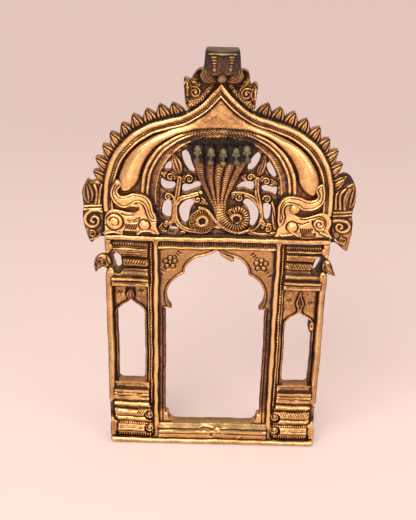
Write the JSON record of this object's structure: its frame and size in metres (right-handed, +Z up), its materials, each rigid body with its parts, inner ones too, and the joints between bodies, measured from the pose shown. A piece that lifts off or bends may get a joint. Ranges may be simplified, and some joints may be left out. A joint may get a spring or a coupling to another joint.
{
  "type": "prabhavali",
  "caption": "Aged brass prabhavali: a portal frame with pierced side bays under an ogee halo arch with petals, yalis, vine tracery, a hooded naga and a lion mask, to stand behind an image.",
  "frame": {"origin": "middle of the flat underside of the base bar", "axes": "+Z up, -Y is the front that is seen, +X to the viewer's right"},
  "size_m": [0.1898, 0.0342, 0.3039],
  "materials": {
    "frame_brass": "rubbed satin brass",
    "aged_brass": "cast brass, worn bright on the ridges and brown in the hollows",
    "verdigris_brass": "cast brass under a green-brown patina",
    "plain_brass": "filed brass"
  },
  "bodies": {
    "root": {"base_bar": "frame_brass", "lintel_beam": "frame_brass", "left_inner_post": "frame_brass", "right_inner_post": "frame_brass", "left_outer_post": "frame_brass", "right_outer_post": "frame_brass", "left_bead_strip": "aged_brass", "right_bead_strip": "aged_brass", "portal_panel": "aged_brass", "sill_moulding": "aged_brass", "frieze_strip": "aged_brass", "left_niche_panel": "aged_brass", "right_niche_panel": "aged_brass", "left_base_moulding": "aged_brass", "right_base_moulding": "aged_brass", "left_capital_moulding": "aged_brass", "right_capital_moulding": "aged_brass", "left_bird_bracket": "aged_brass", "right_bird_bracket": "aged_brass", "arch_plate": "aged_brass", "arch_outer_rim": "aged_brass", "arch_inner_rim": "aged_brass", "arch_roll": "aged_brass", "left_petal_row": "aged_brass", "right_petal_row": "aged_brass", "left_wing_scroll": "aged_brass", "right_wing_scroll": "aged_brass", "left_yali": "aged_brass", "right_yali": "aged_brass", "naga_hood": "aged_brass", "naga_coils": "aged_brass", "naga_heads": "verdigris_brass", "left_vine": "aged_brass", "right_vine": "aged_brass", "left_crest_leaf": "aged_brass", "right_crest_leaf": "aged_brass", "lion_mask": "verdigris_brass", "arch_dowels": "plain_brass", "rear_rivets": "plain_brass"}
  },
  "joints": []
}
